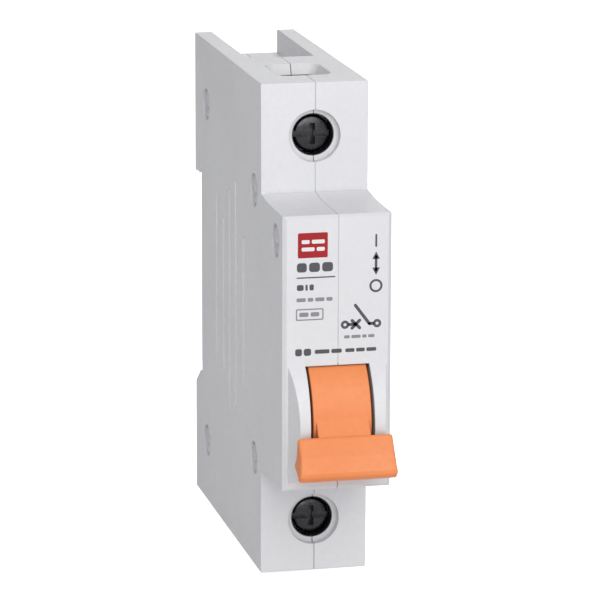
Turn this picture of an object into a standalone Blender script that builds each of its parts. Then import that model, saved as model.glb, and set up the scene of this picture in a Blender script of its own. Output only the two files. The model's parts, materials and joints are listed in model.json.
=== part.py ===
"""Single-pole miniature circuit breaker for a 35 mm DIN rail, with its mechanism inside.

Frame: +X across the width, the front faces -Y, +Z up. The origin is on the rail seat plane,
mid-width, at the height of the middle of the nose. Working sizes are millimetres, and each
object is scaled to metres as it is made. The switch is off, its toggle down.
"""

import math

import bmesh
import bpy
from mathutils import Matrix, Vector

MM = 0.001
GAP = 0.12                    # between pieces that rest on each other

# Case
HALF_WIDTH = 8.9
HALF_HEIGHT = 41.0
NOSE_HALF = 22.5
NOSE_Y = -65.5                # front face of the nose
BLOCK_Y = -49.0               # front face of the two terminal blocks
NOSE_BEVEL = 0.6              # on the nose's two long front edges
REAR_Y = 5.5
WALL = 1.6
SEAM_X = 0.1                  # parting line of the two half cases
INNER_X = HALF_WIDTH - WALL
RAIL_TOP = 16.9               # rail recess, from the fixed hook down to the lower lip
RAIL_BOTTOM = -18.6
HOOK_SLOT = 1.2               # depth in Y of the slot for the rail's upper edge
SEAT_HALF = 16.5              # the flat that rests on the rail's front, above and below the middle
SEAT_RELIEF = 0.15            # depth of the two strips beyond it, behind the hook and the clip

# Terminals, mirrored about Z = 0
TERMINAL_Z = 32.2
COUNTERBORE_R = 4.3
SCREW_HOLE_R = 3.4
SCREW_HEAD = (-47.0, -45.0)   # Y of the head's two faces
SCREW_HEAD_R = 3.1
SCREW_R = 2.2
BAR_Y = (-38.6, -37.4)        # terminal bar, which the wire is clamped against
CAGE_NUT_Y = (-40.7, -39.0)
CAGE_REAR_Y = (-31.2, -29.8)

# Toggle
PIVOT_Y, PIVOT_Z = -57.0, -11.5
DRUM_R = 12.5
RIM_R = 12.8                  # cheeks beside the toggle, and the window it turns in
SKIRT_R = 8.9                 # lower part of the drum, which stays inside the nose
WINDOW_HALF = 5.25
CRANK_R, CRANK_DEG = 5.5, 70.0
PIN_R = 1.0

# Contact mechanism: pivots as (Y, Z)
CARRIER_PIVOT = (-40.0, -6.0)
LINK_EAR = (-41.8, -13.8)     # where the link meets the carrier, switched off
CARRIER_TURN = 29.03          # degrees from off to on
CONTACT_Y, CONTACT_Z = -29.3, -2.72   # where the two silver tips meet
TRIP_PIVOT = (-42.0, 3.0)
COIL_Y = -33.0
COIL_Z = (8.6, 20.6)

# Arc chute
PLATES = 9
PLATE_PITCH = 2.0
PLATE_Z = -9.6                # underside of the lowest plate
CHUTE_Y = (-23.6, -6.4)
BOARD_X = (6.25, 7.05)        # insulating side boards

RIVETS = {
    "rear_upper": (-4.5, 30.0),
    "rear_lower": (-4.5, -30.0),
    "front_upper": (-43.6, 22.6),
    "front_lower": (-43.6, -22.6),
    "nose": (-60.0, 17.6),
}
GROOVES = [                   # vertical grooves in each flank: Y of the middle, lowest Z, highest Z
    (-13.3, -13.4, 16.3),
    (-19.2, -14.0, 13.5),
    (-24.2, -19.1, 19.2),
    (-29.2, -17.9, 21.8),
    (-35.5, -12.0, 13.3),
]


# ---------------------------------------------------------------- materials

def finish(name, colour, roughness, metallic=0.0):
    material = bpy.data.materials.new(name)
    material.use_nodes = True
    shader = material.node_tree.nodes["Principled BSDF"]
    shader.inputs["Base Color"].default_value = (*colour, 1.0)
    shader.inputs["Roughness"].default_value = roughness
    shader.inputs["Metallic"].default_value = metallic
    return material


# ---------------------------------------------------------------- shapes, in millimetres

def arc(centre, radius, start, end, steps):
    """Points on a circle, with angles in degrees from the first axis towards the second."""
    angles = [math.radians(start + (end - start) * i / steps) for i in range(steps + 1)]
    return [(centre[0] + radius * math.cos(a), centre[1] + radius * math.sin(a)) for a in angles]


def circle(centre, radius, sides=24):
    return arc(centre, radius, 0.0, 360.0, sides)[:-1]


def rectangle(a, b):
    return [(a[0], b[0]), (a[1], b[0]), (a[1], b[1]), (a[0], b[1])]


def rounded(a, b, radius, steps=4):
    """A rectangle over the two spans with round corners."""
    corners = [(a[1], b[1], 0), (a[0], b[1], 90), (a[0], b[0], 180), (a[1], b[0], 270)]
    points = []
    for u, v, start in corners:
        centre = (u - math.copysign(radius, u - sum(a) / 2), v - math.copysign(radius, v - sum(b) / 2))
        points += arc(centre, radius, start, start + 90, steps)
    return points


def turn_about(point, centre, degrees):
    a = math.radians(degrees)
    y, z = point[0] - centre[0], point[1] - centre[1]
    return (centre[0] + y * math.cos(a) - z * math.sin(a), centre[1] + y * math.sin(a) + z * math.cos(a))


def stadium(start, end, radius, steps=8):
    """The outline of a strip with round ends, its middle line from start to end."""
    heading = math.degrees(math.atan2(end[1] - start[1], end[0] - start[0]))
    near = arc(start, radius, heading + 90, heading + 270, steps)
    return near + arc(end, radius, heading - 90, heading + 90, steps)


def ribbon(path, thickness):
    """The outline of a bent strip of sheet metal, from the points of its middle line."""
    sides = ([], [])
    for i, point in enumerate(path):
        before = Vector(path[max(i - 1, 0)])
        after = Vector(path[min(i + 1, len(path) - 1)])
        here = Vector(point)
        ways = [(b - a).normalized() for a, b in ((before, here), (here, after)) if (b - a).length > 0]
        along = sum(ways, Vector((0, 0))).normalized()
        reach = thickness / 2 / along.dot(ways[0])
        across = Vector((-along.y, along.x)) * reach
        sides[0].append(tuple(here + across))
        sides[1].append(tuple(here - across))
    return sides[0] + sides[1][::-1]


def at(axis, a, b, along):
    """The point whose position along the axis and in the plane across it are given."""
    return {"X": (along, a, b), "Y": (a, along, b), "Z": (a, b, along)}[axis]


def prism(outline, axis, span, far_outline=None):
    """A closed solid between an outline and its copy, or another outline of as many points."""
    mesh = bmesh.new()
    near = [mesh.verts.new(at(axis, a, b, span[0])) for a, b in outline]
    far = [mesh.verts.new(at(axis, a, b, span[1])) for a, b in far_outline or outline]
    mesh.faces.new(near[::-1])
    mesh.faces.new(far)
    for i in range(len(near)):
        j = (i + 1) % len(near)
        mesh.faces.new((near[i], near[j], far[j], far[i]))
    bmesh.ops.recalc_face_normals(mesh, faces=mesh.faces)
    return mesh


def box(x, y, z):
    return prism(rectangle(x, y), "Z", z)


def turned(profile, axis, centre, sides=24):
    """A closed profile of (radius, position along the axis) turned about the axis."""
    mesh = bmesh.new()
    rings = []
    for radius, along in profile:
        around = circle(centre, radius, sides) if radius > 0 else [centre]
        rings.append([mesh.verts.new(at(axis, a, b, along)) for a, b in around])
    for ring, following in zip(rings, rings[1:] + rings[:1]):
        if len(ring) == 1 and len(following) == 1:
            continue
        for i in range(sides):
            j = (i + 1) % sides
            corners = [ring[i % len(ring)], ring[j % len(ring)]]
            corners += [following[j % len(following)], following[i % len(following)]]
            mesh.faces.new(list(dict.fromkeys(corners)))
    bmesh.ops.recalc_face_normals(mesh, faces=mesh.faces)
    return mesh


def rod(axis, centre, radius, span, sides=24):
    return prism(circle(centre, radius, sides), axis, span)


def wire(path, radius, sides=8):
    """A round wire along the points of a path, its ends closed."""
    mesh = bmesh.new()
    path = [Vector(point) for point in path]
    ways = [(b - a).normalized() for a, b in zip(path, path[1:])]
    side = ways[0].orthogonal().normalized()
    rings = []
    for i, here in enumerate(path):
        before, after = ways[max(i - 1, 0)], ways[min(i, len(ways) - 1)]
        along = (before + after).normalized()
        side = (side - along * side.dot(along)).normalized()
        up = along.cross(side)
        ring = []
        for k in range(sides):
            a = 2 * math.pi * k / sides
            ring.append(mesh.verts.new(here + (side * math.cos(a) + up * math.sin(a)) * radius))
        rings.append(ring)
    for ring, following in zip(rings, rings[1:]):
        for i in range(sides):
            j = (i + 1) % sides
            mesh.faces.new((ring[i], ring[j], following[j], following[i]))
    mesh.faces.new(rings[0][::-1])
    mesh.faces.new(rings[-1])
    bmesh.ops.recalc_face_normals(mesh, faces=mesh.faces)
    return mesh


def helix(axis, centre, radius, span, turns, steps=12, start=0.0):
    """Points along a coil about the axis, from the first position to the second."""
    points = []
    total = round(turns * steps)
    for i in range(total + 1):
        a = math.radians(start) + 2 * math.pi * turns * i / total
        along = span[0] + (span[1] - span[0]) * i / total
        points.append(at(axis, centre[0] + radius * math.cos(a), centre[1] + radius * math.sin(a), along))
    return points


# ---------------------------------------------------------------- objects

def to_object(name, mesh, origin):
    mesh.transform(Matrix.Scale(MM, 4) @ Matrix.Translation(-Vector(origin)))
    data = bpy.data.meshes.new(name)
    mesh.to_mesh(data)
    mesh.free()
    obj = bpy.data.objects.new(name, data)
    obj.location = Vector(origin) * MM
    bpy.context.scene.collection.objects.link(obj)
    return obj


def piece(name, material, mesh, steps=(), origin=(0.0, 0.0, 0.0)):
    """One sub-part: a base shape, and the shapes that are added to it and cut from it, in order."""
    obj = to_object(name, mesh, origin)
    obj.data.materials.append(material)
    obj.data.shade_smooth()
    obj.data.set_sharp_from_angle(angle=math.radians(35))
    for number, (operation, tool_mesh) in enumerate(steps):
        tool = to_object(f"{name}_{operation.lower()}_{number}", tool_mesh, origin)
        tool.hide_render = True
        tool.display_type = "WIRE"
        modifier = obj.modifiers.new(tool.name, "BOOLEAN")
        modifier.operation = operation
        modifier.object = tool
    return obj


def add(mesh):
    return ("UNION", mesh)


def cut(mesh):
    return ("DIFFERENCE", mesh)


# ---------------------------------------------------------------- case

def case_outline():
    """The side view of the closed case: (Y, Z)."""
    slot_top = RAIL_TOP + 0.9
    return [
        (BLOCK_Y, -HALF_HEIGHT), (BLOCK_Y, -NOSE_HALF - 1.1), (BLOCK_Y - 5, -NOSE_HALF - 0.4),
        (NOSE_Y + 0.5, -NOSE_HALF), (NOSE_Y, -NOSE_HALF + 0.5), (NOSE_Y, NOSE_HALF - 0.5),
        (NOSE_Y + 0.5, NOSE_HALF), (BLOCK_Y - 5, NOSE_HALF), (BLOCK_Y, NOSE_HALF + 0.5),
        (BLOCK_Y, HALF_HEIGHT), (REAR_Y, HALF_HEIGHT), (REAR_Y, RAIL_TOP - 0.4),
        (REAR_Y - 0.7, RAIL_TOP), (HOOK_SLOT, RAIL_TOP), (HOOK_SLOT, slot_top),
        (-SEAT_RELIEF, slot_top), (-SEAT_RELIEF, SEAT_HALF), (0.0, SEAT_HALF),
        (0.0, -SEAT_HALF), (-SEAT_RELIEF, -SEAT_HALF), (-SEAT_RELIEF, RAIL_BOTTOM),
        (HOOK_SLOT, RAIL_BOTTOM), (REAR_Y, RAIL_BOTTOM - 3.0), (REAR_Y, -HALF_HEIGHT),
    ]


def cavity_outline():
    """The side view of the room inside: (Y, Z)."""
    front, top = BLOCK_Y + 1.8, HALF_HEIGHT - 1.8
    nose = NOSE_HALF - WALL
    return [
        (front, -top), (front, -nose - 1.2), (BLOCK_Y, -nose - 0.5), (NOSE_Y + WALL, -nose),
        (NOSE_Y + WALL, nose), (BLOCK_Y, nose + 0.2), (front, nose + 0.8), (front, top),
        (-25.0, top), (-25.0, 35.2), (REAR_Y - WALL, 35.2), (REAR_Y - WALL, RAIL_TOP + 2.5),
        (-WALL, RAIL_TOP + 2.5), (-WALL, -top),
    ]


def window_outline():
    """The toggle's window: a sector about its pivot, which stops short of the nose's underside."""
    pivot = (PIVOT_Y, PIVOT_Z)
    return arc(pivot, RIM_R, 80, 229.5, 24) + [(PIVOT_Y + 2.0, PIVOT_Z - 2.0)]


def cheek(side):
    """The raised rim beside the toggle: an arc about its pivot, narrower towards the front."""
    pivot = (PIVOT_Y, PIVOT_Z)
    depth = NOSE_Y - PIVOT_Y
    half = math.degrees(math.acos(-depth / RIM_R))
    outline = arc(pivot, RIM_R, 180 - half, 180 + half, 16) + [
        (NOSE_Y + 0.8, PIVOT_Z - 9.4), (NOSE_Y + 0.8, PIVOT_Z + 9.4)
    ]
    mesh = prism(outline, "X", sorted((side * WINDOW_HALF, side * 8.05)))
    for vertex in mesh.verts:
        if abs(vertex.co.x) > 6:
            vertex.co.x -= side * 0.25 * (NOSE_Y - vertex.co.y)
    return mesh


def wire_entry(up):
    """A funnel in the top or the bottom face for the conductor."""
    reach = (HALF_HEIGHT - 2.6) * up, (HALF_HEIGHT + 0.6) * up
    inside = rounded((-3.5, 3.5), (-40.2, -31.4), 1.5)
    outside = rounded((-4.9, 4.9), (-42.6, -30.2), 2.0)
    return prism(inside, "Z", reach, outside)


def clip_channel():
    """A T-shaped way, open at the back and at both ends, in which the rail clip slides."""
    wide, narrow, step = 5.7, 4.5, 3.3
    half = [(wide, 1.1), (wide, step), (narrow, step), (narrow, REAR_Y + 1)]
    return prism(half + [(-x, y) for x, y in half[::-1]], "Z", (-HALF_HEIGHT - 1, RAIL_BOTTOM + 1))


def half_span(side):
    """The X span of one half of the case, and of what it holds up to the parting line."""
    return sorted((SEAM_X + side * GAP / 2, side * HALF_WIDTH))


def inner_span(side, outer=INNER_X + 0.5):
    return sorted((SEAM_X + side * GAP / 2, side * outer))


def case_half(name, material, side):
    cavity = prism(cavity_outline(), "X", sorted((side * -1.0, side * INNER_X)))
    steps = [cut(cavity)]
    for y, z in RIVETS.values():
        steps.append(add(rod("X", (y, z), 2.7, inner_span(side), 16)))
    for y, z in ((PIVOT_Y, PIVOT_Z), CARRIER_PIVOT, TRIP_PIVOT):
        steps.append(add(rod("X", (y, z), 2.0, sorted((side * 6.4, side * (INNER_X + 0.5))), 16)))
    for up in (-1, 1):
        collar = rod("Y", (0.0, TERMINAL_Z * up), 4.9, (BLOCK_Y + 1.0, SCREW_HEAD[1] - 0.1), 24)
        bmesh.ops.bisect_plane(
            collar, geom=collar.verts[:] + collar.edges[:] + collar.faces[:], clear_inner=True,
            plane_co=(SEAM_X + side * GAP / 2, 0, 0), plane_no=(side, 0, 0))
        bmesh.ops.holes_fill(collar, edges=[e for e in collar.edges if e.is_boundary])
        steps.append(add(collar))
    post = box(sorted((SEAM_X + side * GAP / 2, side * 1.9)), (0.6, 4.4), (-36.9, -35.4))
    steps.append(add(cheek(side)))
    steps.append(cut(prism(window_outline(), "X", (-WINDOW_HALF, WINDOW_HALF))))
    for y, z in RIVETS.values():
        steps.append(cut(rod("X", (y, z), 2.8, sorted((side * 8.0, side * 10)), 24)))
        steps.append(cut(rod("X", (y, z), 1.6, sorted((side * -1.0, side * 9)), 16)))
    for y, z in ((PIVOT_Y, PIVOT_Z), CARRIER_PIVOT, TRIP_PIVOT):
        steps.append(cut(rod("X", (y, z), PIN_R + 0.12, sorted((side * 6.0, side * 7.6)), 16)))
    for up in (-1, 1):
        steps.append(cut(rod("Y", (0.0, TERMINAL_Z * up), COUNTERBORE_R, (BLOCK_Y - 1, BLOCK_Y + 1.4), 32)))
        steps.append(cut(rod("Y", (0.0, TERMINAL_Z * up), SCREW_HOLE_R, (BLOCK_Y, -44.0), 32)))
        steps.append(cut(wire_entry(up)))
    steps.append(cut(box((-5.75, 5.75), (-23.4, REAR_Y + 1), (37.0, HALF_HEIGHT + 1))))
    steps.append(cut(clip_channel()))
    steps.append(add(post))
    corner = [(side * (HALF_WIDTH - NOSE_BEVEL), NOSE_Y), (side * 10, NOSE_Y - 1), (side * 10, NOSE_Y + 1),
              (side * HALF_WIDTH, NOSE_Y + NOSE_BEVEL)]
    steps.append(cut(prism(corner, "Z", (-NOSE_HALF - 1, NOSE_HALF + 1))))
    for y, low, high in GROOVES:
        outline = stadium((y, low + 0.8), (y, high - 0.8), 0.8, 6)
        steps.append(cut(prism(outline, "X", sorted((side * (HALF_WIDTH - 0.45), side * 10)))))
    return piece(name, material, prism(case_outline(), "X", half_span(side)), steps)


def rivet(name, material, y, z):
    """A tubular rivet with a rolled head at each end, sunk in the flanks."""
    head, face = 8.12, 8.75
    profile = [
        (0.7, -face), (1.7, -face), (2.5, -face + 0.3), (2.5, -head), (1.45, -head),
        (1.45, head), (2.5, head), (2.5, face - 0.3), (1.7, face), (0.7, face),
    ]
    return piece(name, material, turned(profile, "X", (y, z), 12))


# ---------------------------------------------------------------- toggle and link

def toggle(material):
    """Thumb lever on a drum. The drum closes the window in both positions."""
    pivot = (PIVOT_Y, PIVOT_Z)
    drum = arc(pivot, DRUM_R, 120, 227, 24) + arc(pivot, SKIRT_R, 229, 290, 12)
    drum += arc(pivot, 3.0, 300, 440, 8)
    arm = [(PIVOT_Y - 10, -9.3), (NOSE_Y - 3.75, -9.75), (NOSE_Y - 5.75, -12.5), (NOSE_Y - 7.2, -16.6),
           (NOSE_Y - 4.6, -17.4), (PIVOT_Y - 9, -16.6)]
    tip = NOSE_Y - 8.8
    upper = [(NOSE_Y - 5.1, -12.0), (NOSE_Y - 5.9, -12.3), (NOSE_Y - 6.9, -13.3), (NOSE_Y - 7.8, -14.8),
             (NOSE_Y - 8.5, -16.3)]
    lip = [(tip, -17.4), (NOSE_Y - 8.7, -18.2), (NOSE_Y - 7.9, -18.9), (NOSE_Y - 6.9, -18.9)]
    back = arc(pivot, 13.5, 205, 183.5, 5)
    paddle = prism(upper + lip + back, "X", (-7.7, 7.7))
    for vertex in paddle.verts:
        if vertex.co.z < -16.9:
            vertex.co.x *= 8.0 / 7.7
    pin = turn_about((PIVOT_Y + CRANK_R, PIVOT_Z), pivot, CRANK_DEG)
    steps = [
        add(prism(arm, "X", (-4.35, 4.35))),
        add(paddle),
        add(prism(stadium(pivot, pin, 1.9), "X", (-3.4, 3.4))),
        cut(rod("X", pivot, PIN_R + 0.1, (-6, 6), 16)),
        cut(rod("X", pin, 0.9, (-6, 6), 16)),
        cut(box((-1.6, 1.6), (pin[0] - 4.2, pin[0] + 4), (pin[1] - 1.6, pin[1] + 4))),
    ]
    return piece("toggle", material, prism(drum, "X", (-4.8, 4.8)), steps, (0.0, *pivot))


def toggle_link(material):
    """A wire bent to a U: one leg turns in the toggle's ears, the other pulls the carrier."""
    pivot = (PIVOT_Y, PIVOT_Z)
    upper = turn_about((PIVOT_Y + CRANK_R, PIVOT_Z), pivot, CRANK_DEG)
    bend = 0.9
    way = (Vector(LINK_EAR) - Vector(upper)).normalized() * bend
    path = [
        (-3.6, *upper), (4.5 - bend, *upper), (4.5 - 0.25, upper[0] + way.x * 0.3, upper[1] + way.y * 0.3),
        (4.5, upper[0] + way.x, upper[1] + way.y), (4.5, LINK_EAR[0] - way.x, LINK_EAR[1] - way.y),
        (4.5 - 0.25, LINK_EAR[0] - way.x * 0.3, LINK_EAR[1] - way.y * 0.3), (4.5 - bend, *LINK_EAR),
        (-2.7, *LINK_EAR),
    ]
    return piece("toggle_link", material, wire(path, 0.65), (), (0.0, *upper))


def torsion_spring(name, material, pivot, x, radius, legs):
    """Coils about a pivot pin, with a 5 mm leg tangent at each end: legs holds their two headings."""
    coils = helix("X", pivot, radius, x, 2 + (legs[1] - legs[0]) / 360, 10, legs[0])
    first = turn_about((pivot[0] + radius, pivot[1] - 5.0), pivot, legs[0])
    last = turn_about((pivot[0] + radius, pivot[1] + 5.0), pivot, legs[1])
    path = [(x[0], *first)] + coils + [(x[1], *last)]
    return piece(name, material, wire(path, 0.2, 6))


def pin(name, material, pivot):
    half, bevel = INNER_X + 0.1, 0.2
    profile = [(0, -half), (PIN_R - bevel, -half), (PIN_R, -half + bevel),
               (PIN_R, half - bevel), (PIN_R - bevel, half), (0, half)]
    return piece(name, material, turned(profile, "X", pivot, 16), (), (0.0, *pivot))


# ---------------------------------------------------------------- contacts and trip

def switched_off(points):
    """Points (Y, Z) of the closed contact, turned back to where they are with the switch off."""
    return [turn_about(point, CARRIER_PIVOT, -CARRIER_TURN) for point in points]


def contact_carrier(material):
    """The plastic lever that the link pushes. The moving contact sits in its slot."""
    nose = [(-41.0, -4.2), (-35.2, -3.0), (-34.3, -3.8), (-34.3, -6.2), (-38.0, -8.2)]
    end = switched_off([(-30.0, -4.5)])[0]
    steps = [
        add(prism(switched_off(nose), "X", (-2.6, 2.6))),
        cut(rod("X", CARRIER_PIVOT, PIN_R + 0.1, (-4, 4), 16)),
        cut(rod("X", LINK_EAR, 1.3, (-4, 4), 16)),
        cut(prism(stadium(CARRIER_PIVOT, end, 2.2), "X", (-1.15, 1.15))),
    ]
    body = prism(stadium(CARRIER_PIVOT, LINK_EAR, 2.3), "X", (-2.6, 2.6))
    return piece("contact_carrier", material, body, steps, (0.0, *CARRIER_PIVOT))


def moving_contact_arm(material):
    """Flat copper arm, its tip level when the contacts are closed."""
    top, under = CONTACT_Z - 0.8 - GAP, CONTACT_Z - 2.2
    outline = arc(CARRIER_PIVOT, 1.9, 30, 330, 14)
    outline += [(-31.3, under), (-27.7, under), (-27.2, under + 0.6), (-27.7, top), (-31.3, top)]
    steps = [cut(rod("X", CARRIER_PIVOT, PIN_R + 0.1, (-4, 4), 16))]
    arm = prism(switched_off(outline), "X", (-0.9, 0.9))
    return piece("moving_contact_arm", material, arm, steps, (0.0, *CARRIER_PIVOT))


def moving_contact_tip(material):
    top = CONTACT_Z
    disc = turned([(0, top - 0.8), (1.5, top - 0.8), (1.5, top - 0.3), (1.2, top), (0, top)], "Z", (0, 0), 16)
    pivot = Vector((0.0, *CARRIER_PIVOT))
    turn = Matrix.Rotation(math.radians(-CARRIER_TURN), 4, "X")
    there = Matrix.Translation((0.0, CONTACT_Y, 0.0))
    disc.transform(Matrix.Translation(pivot) @ turn @ Matrix.Translation(-pivot) @ there)
    return piece("moving_contact_tip", material, disc, (), (0.0, *CARRIER_PIVOT))


def fixed_contact_bar(material):
    """From the coil's lower lead, over the moving contact, up to the runner above the arc chute."""
    level = CONTACT_Z + 1.52
    path = [(-31.4, level), (-27.6, level), (-24.9, 9.4), (-7.0, 9.4)]
    return piece("fixed_contact_bar", material, prism(ribbon(path, 1.0), "X", (-2.2, 2.2)))


def fixed_contact_tip(material):
    low = CONTACT_Z + 0.02
    profile = [(0, low), (1.2, low), (1.6, low + 0.3), (1.6, low + 0.88), (0, low + 0.88)]
    return piece("fixed_contact_tip", material, turned(profile, "Z", (0.0, CONTACT_Y), 16))


def lower_arc_runner(material):
    path = [(-31.2, -13.6), (-28.6, -12.6), (-7.0, -12.6)]
    return piece("lower_arc_runner", material, prism(ribbon(path, 0.8), "X", (-2.2, 2.2)))


def trip_lever(material):
    """A side plate with a tab under the striker pin and a tail in front of the bimetal."""
    side = (-4.9, -3.7)
    plate = [(-44.0, 3.6), (-42.6, 5.2), (-33.0, 6.2), (-32.0, 5.6), (-32.0, 4.7), (-38.4, 3.2),
             (-36.2, -2.0), (-33.6, -9.4), (-28.9, -16.2), (-28.9, -18.2), (-30.2, -18.2), (-35.6, -10.0),
             (-37.8, -3.6), (-40.6, 0.6), (-43.2, 1.0)]
    steps = [
        add(box((-4.3, 1.0), (-35.0, -32.1), (4.85, 5.9))),
        add(box((-4.3, 1.8), (-30.0, -29.0), (-18.1, -16.5))),
        cut(rod("X", TRIP_PIVOT, PIN_R + 0.1, (-7, 0), 16)),
    ]
    return piece("trip_lever", material, prism(plate, "X", side), steps, (0.0, *TRIP_PIVOT))


def bimetal_strip(material):
    return piece("bimetal_strip", material, box((-2.0, 2.0), (-26.9, -26.1), (-37.4, -15.2)),
                 (), (0.0, -26.5, -33.0))


def bimetal_bracket(material):
    path = [(-21.6, -38.4), (-25.1, -38.4), (-25.1, -30.6)]
    steps = [cut(rod("Y", (0.0, -33.0), 1.1, (-27, -23), 16))]
    return piece("bimetal_bracket", material, prism(ribbon(path, 0.9), "X", (-2.6, 2.6)), steps)


def calibration_screw(material):
    profile = [(0, -25.9), (1.0, -25.9), (1.0, -20.2), (2.0, -20.2), (2.0, -18.9), (0, -18.9)]
    slot = box((-0.3, 0.3), (-19.5, -18.0), (-36, -30))
    return piece("calibration_screw", material, turned(profile, "Y", (0.0, -33.0), 16), [cut(slot)])


def flexible_braid(material):
    """Copper braid from the free end of the bimetal to the side of the moving contact."""
    start, end = Vector((2.9, -26.5, -17.5)), Vector((1.85, -32.4, -8.4))
    sag, rise = Vector((3.9, -28.0, -22.5)), Vector((2.6, -34.0, -16.0))
    parts, path = 12, []
    for i in range(parts + 1):
        t = i / parts
        near = start * (1 - t) ** 3 + sag * 3 * t * (1 - t) ** 2
        path.append(near + rise * 3 * t * t * (1 - t) + end * t ** 3)
    return piece("flexible_braid", material, wire(path, 0.75))


# ---------------------------------------------------------------- magnetic release

def coil_winding(material):
    """Six turns of thick wire, with a lead to the terminal bar and one to the fixed contact."""
    radius = 4.05
    turns = helix("Z", (0.0, COIL_Y), radius, (COIL_Z[0] + 1.0, COIL_Z[1] - 1.0), 5.5, 12, 180)
    lower = [(-3.15, -29.8, -0.9), (-3.15, -29.8, 4.6), (-3.7, -30.6, 6.6), (-4.05, -32.2, 8.2)]
    upper = [(radius, COIL_Y + 0.4, COIL_Z[1] + 0.6), (radius, COIL_Y + 1.6, COIL_Z[1] + 2.2)]
    return piece("coil_winding", material, wire(lower + turns + upper, 0.85, 6))


def coil_bobbin(material):
    low, high = COIL_Z
    profile = [(2.2, low), (3.05, low), (3.05, high), (2.2, high)]
    return piece("coil_bobbin", material, turned(profile, "Z", (0.0, COIL_Y), 20))


def coil_yoke(material):
    """A steel U about the coil: plates over and under it, joined behind it."""
    path = [(-37.6, 7.9), (-27.2, 7.9), (-27.2, 21.3), (-37.6, 21.3)]
    bores = [cut(rod("Z", (0.0, COIL_Y), 1.95, (20, 23), 20)), cut(rod("Z", (0.0, COIL_Y), 0.9, (6, 9), 16))]
    return piece("coil_yoke", material, prism(ribbon(path, 1.0), "X", (-2.9, 2.9)), bores)


def coil_core(material):
    profile = [(0.85, COIL_Z[0] + 0.1), (2.05, COIL_Z[0] + 0.1), (2.05, 12.6), (0.85, 12.6)]
    return piece("coil_core", material, turned(profile, "Z", (0.0, COIL_Y), 20))


def plunger(material):
    profile = [(0, 15.4), (1.3, 15.4), (1.8, 15.9), (1.8, 22.9), (1.5, 23.2), (0, 23.2)]
    bore = rod("Z", (0.0, COIL_Y), 0.7, (15, 17), 12)
    return piece("plunger", material, turned(profile, "Z", (0.0, COIL_Y), 20), [cut(bore)], (0, COIL_Y, 15.4))


def striker_pin(material):
    profile = [(0, 6.3), (0.4, 6.3), (0.6, 6.6), (0.6, 16.8), (0, 16.8)]
    return piece("striker_pin", material, turned(profile, "Z", (0.0, COIL_Y), 12), (), (0, COIL_Y, 15.4))


def compression_spring(name, material, axis_at, radius, z, turns, gauge):
    coils = helix("Z", axis_at, radius, (z[0] + gauge, z[1] - gauge), turns, 10)
    return piece(name, material, wire(coils, gauge, 5))


# ---------------------------------------------------------------- arc chute

def plate_outline():
    """A splitter plate seen from above: a V notch at the front, and a tab in each side board."""
    front, rear = CHUTE_Y
    inner, tab = BOARD_X[0] - GAP, BOARD_X[1] - GAP
    half = [(0.0, front + 6.0), (1.6, front + 1.0), (1.9, front), (inner, front), (inner, front + 5),
            (tab, front + 5), (tab, rear - 5), (inner, rear - 5), (inner, rear)]
    return half + [(-x, y) for x, y in half[:0:-1]]


def arc_plate(number, material):
    low = PLATE_Z + number * PLATE_PITCH
    return piece(f"arc_plate_{number + 1}", material, prism(plate_outline(), "Z", (low, low + 0.9)))


def chute_board(name, material, side):
    front, rear = CHUTE_Y
    slots = []
    for number in range(PLATES):
        low = PLATE_Z + number * PLATE_PITCH
        slot = box((BOARD_X[0] * side - 1.5, BOARD_X[0] * side + 1.5), (front + 4.85, rear - 4.85),
                   (low - GAP, low + 0.9 + GAP))
        slots.append(cut(slot))
    span = sorted((side * BOARD_X[0], side * BOARD_X[1]))
    return piece(name, material, box(span, (front + 0.3, rear - 0.3), (-11.4, 8.4)), slots)


# ---------------------------------------------------------------- terminals

def terminal_screw(name, material, up):
    """Pan head with a slot and cross recess. It turns in place and draws the cage forwards."""
    front, back = SCREW_HEAD
    z = TERMINAL_Z * up
    profile = [(0, front), (2.4, front), (SCREW_HEAD_R, front + 0.6), (SCREW_HEAD_R, back), (SCREW_R, back),
               (SCREW_R, -39.1), (SCREW_R - 0.4, -38.75), (0, -38.75)]
    deep = (front - 1, front + 1.1)
    steps = [
        cut(box((-3.6, 3.6), deep, (z - 0.5, z + 0.5))),
        cut(box((-0.5, 0.5), (front - 1, front + 1.4), (z - 1.7, z + 1.7))),
    ]
    return piece(name, material, turned(profile, "Y", (0.0, z), 24), steps, (0.0, front, z))


def terminal_cage(name, material, up):
    """A steel loop about the terminal bar. Its front wall is the screw's nut."""
    z = (28.2, 36.2) if up > 0 else (-36.2, -28.2)
    middle = TERMINAL_Z * up
    steps = [
        cut(box((-3.9, 3.9), (CAGE_NUT_Y[1], CAGE_REAR_Y[0]), (z[0] - 1, z[1] + 1))),
        cut(rod("Y", (0.0, middle), SCREW_R + 0.1, (-42, -38), 24)),
    ]
    shape = prism(rounded((-4.9, 4.9), (CAGE_NUT_Y[0], CAGE_REAR_Y[1]), 0.8, 3), "Z", z)
    return piece(name, material, shape, steps, (0.0, CAGE_NUT_Y[0], middle))


def terminal_bar(name, material, path, width=3.6):
    return piece(name, material, prism(ribbon(path, BAR_Y[1] - BAR_Y[0]), "X", (-width, width)))


# ---------------------------------------------------------------- rail clip

def din_clip(material):
    """A slide with a sprung window. Its sloped nose snaps behind the rail's lower edge."""
    body = [(1.4, -40.9), (5.2, -40.9), (5.2, -20.9), (2.2, -16.9), (1.4, -16.9)]
    steps = [
        add(box((-5.4, 5.4), (1.4, 3.0), (-38.9, -21.4))),
        cut(box((-2.5, 2.5), (0.5, 6.0), (-37.5, -24.5))),
        cut(box((-2.2, 2.2), (3.6, 6.0), (-40.0, -38.9))),
    ]
    return piece("din_clip", material, prism(body, "X", (-4.2, 4.2)), steps, (0.0, 3.2, -35.4))


# ---------------------------------------------------------------- assembly

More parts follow.
